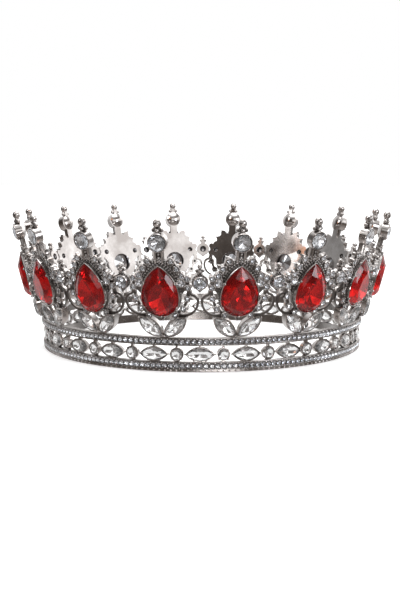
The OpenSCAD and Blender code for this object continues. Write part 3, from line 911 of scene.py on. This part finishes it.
navette_cut = brilliant(lens_outline(NAVETTE), 12, 1.1, 2.15, -0.05, table=0.5, belly=0.5, foiled=False)
round_cut = brilliant(circle_outline(ROUND_D), 16, 1.1, 2.15, 0.05, table=0.55, belly=0.5, foiled=False)
stones_in_row("navette_rhinestones", navette_cut, 0, "band_navette_stones")
stones_in_row("round_rhinestones", round_cut, 0.5, "band_round_stones")
print("settings in the middle row:", 2 * ROW_COUNT)

# %% [markdown]
# ## Studio
# Jewellery is lit by large white cards, and by dark cards where the metal would otherwise look like
# paper. The world does most of this: white overhead and behind the crown, a broad window on the right,
# and dim grey between them, so that one plate shines and the next stays dark. The camera itself sees
# plain white. The floor is a pale plain sheet that glows a little, as a light table does, which keeps the
# shadows light. Reflections and refractions leave it out.

# %% Floor
FLOOR_GAP = 0.2


def studio_floor():
    material, tree = new_material("matt_white_acrylic")
    place = add(tree, "TexCoord").outputs["Object"]
    grain = add(tree, "TexNoise", {"Scale": per_metre(30), "Detail": 2}, {"Vector": place})
    tone = add(tree, "ValToRGB", links={"Fac": grain.outputs["Fac"]})
    tone.color_ramp.elements[0].color = paint("#f4f4f5")
    tone.color_ramp.elements[1].color = paint("#f8f8f8")
    sheet = add(tree, "BsdfPrincipled", {"Roughness": 0.7, "Emission Strength": 0.55},
                {"Base Color": tone.outputs["Color"], "Emission Color": tone.outputs["Color"]})
    add(tree, "OutputMaterial", links={"Surface": sheet.outputs["BSDF"]})
    bm = bmesh.new()
    bmesh.ops.create_grid(bm, x_segments=1, y_segments=1, size=3)
    mesh = bpy.data.meshes.new("floor")
    bm.to_mesh(mesh)
    bm.free()
    mesh.materials.append(material)
    floor = bpy.data.objects.new("floor", mesh)
    floor.location.z = -FLOOR_GAP * MM
    floor.visible_glossy = False
    floor.visible_transmission = False
    bpy.context.collection.objects.link(floor)
    floor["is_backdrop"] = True
    return floor


studio_floor()

# %% World: white above and behind, a window on the right, plain white to the camera
world = bpy.data.worlds.new("studio")
bpy.context.scene.world = world
world.use_nodes = True
sky = world.node_tree
sky.nodes.clear()
axes = add(sky, "SeparateXYZ", links={"Vector": add(sky, "TexCoord").outputs["Generated"]})


def ramp(source, stops):
    made = add(sky, "ValToRGB", links={"Fac": source})
    elements = made.color_ramp.elements
    while len(elements) < len(stops):
        elements.new(0.5)
    for element, (position, tone) in zip(elements, stops):
        element.position, element.color = position, paint(tone)
    return made.outputs["Color"]


def lighter(one, other):
    made = add(sky, "Mix", {"Factor": 1.0}, data_type="RGBA", blend_type="LIGHTEN")
    sky.links.new(one, made.inputs["A"])
    sky.links.new(other, made.inputs["B"])
    return made.outputs["Result"]


def share_along(axis):
    """Turns a direction from -1 to 1 into a share from 0 to 1."""
    made = add(sky, "MapRange", {"From Min": -1.0, "From Max": 1.0}, {"Value": axes.outputs[axis]})
    return made.outputs["Result"]


behind = ramp(share_along("Y"), [(0.55, "#000000"), (0.8, "#ffffff")])
overhead = ramp(share_along("Z"), [(0.0, "#e0dad6"), (0.3, "#8c8480"), (0.46, "#686059"), (0.56, "#56504c"),
                                   (0.8, "#6a6460"), (0.93, "#ffffff")])
window_height = ramp(share_along("Z"), [(0.52, "#000000"), (0.6, "#ffffff"), (0.72, "#ffffff"),
                                        (0.8, "#000000")])
window_side = ramp(share_along("X"), [(0.4, "#000000"), (0.52, "#ffffff")])
window = add(sky, "Mix", {"Factor": 1.0}, data_type="RGBA", blend_type="MULTIPLY")
sky.links.new(window_height, window.inputs["A"])
sky.links.new(window_side, window.inputs["B"])
room = add(sky, "Background", {"Strength": 1.0}, {"Color": lighter(behind, overhead)})
daylight = add(sky, "Background", {"Strength": 1.3}, {"Color": window.outputs["Result"]})
soft = add(sky, "AddShader", links={0: room.outputs["Background"], 1: daylight.outputs["Background"]})
plain = add(sky, "Background", {"Color": paint("#ffffff"), "Strength": 1.0})
seen = add(sky, "MixShader", links={"Fac": add(sky, "LightPath").outputs["Is Camera Ray"],
                                    1: soft.outputs["Shader"], 2: plain.outputs["Background"]})
add(sky, "OutputWorld", links={"Surface": seen.outputs["Shader"]})


# %% Cards of light
def light_card(name, place, size, power, colour):
    lamp = bpy.data.lights.new(name, "AREA")
    lamp.shape = "RECTANGLE"
    lamp.size, lamp.size_y = size
    lamp.energy = power
    lamp.color = paint(colour)[:3]
    card = bpy.data.objects.new(name, lamp)
    card.location = place
    card.rotation_euler = (Vector(place) - target).to_track_quat("Z", "Y").to_euler()
    card.visible_camera = False
    bpy.context.collection.objects.link(card)
    return card


light_card("key_card", (-0.6, -0.35, 0.55), (0.3, 0.4), 1.2, "#ffffff")
light_card("right_card", (0.5, -0.42, 0.2), (0.2, 0.3), 0.9, "#f4f8ff")
light_card("low_card", (0.12, -0.55, -0.12), (0.25, 0.05), 0.4, "#ffffff")
light_card("top_card", (0.05, 0.05, 0.7), (0.5, 0.5), 3.2, "#ffffff")
light_card("warm_card", (-0.06, -0.01, 0.09), (0.016, 0.035), 0.0035, "#f0a066")

# %% [markdown]
# ## Print the size
# Both boxes, the CAD frame's and the finished pieces', are printed in millimetres.

# %% Print both boxes
visual_box = [list(corner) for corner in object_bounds()]
for name, box in (("CAD box", cad_box), ("visual box", visual_box)):
    print(name, [[round(value / MM, 2) for value in corner] for corner in box])
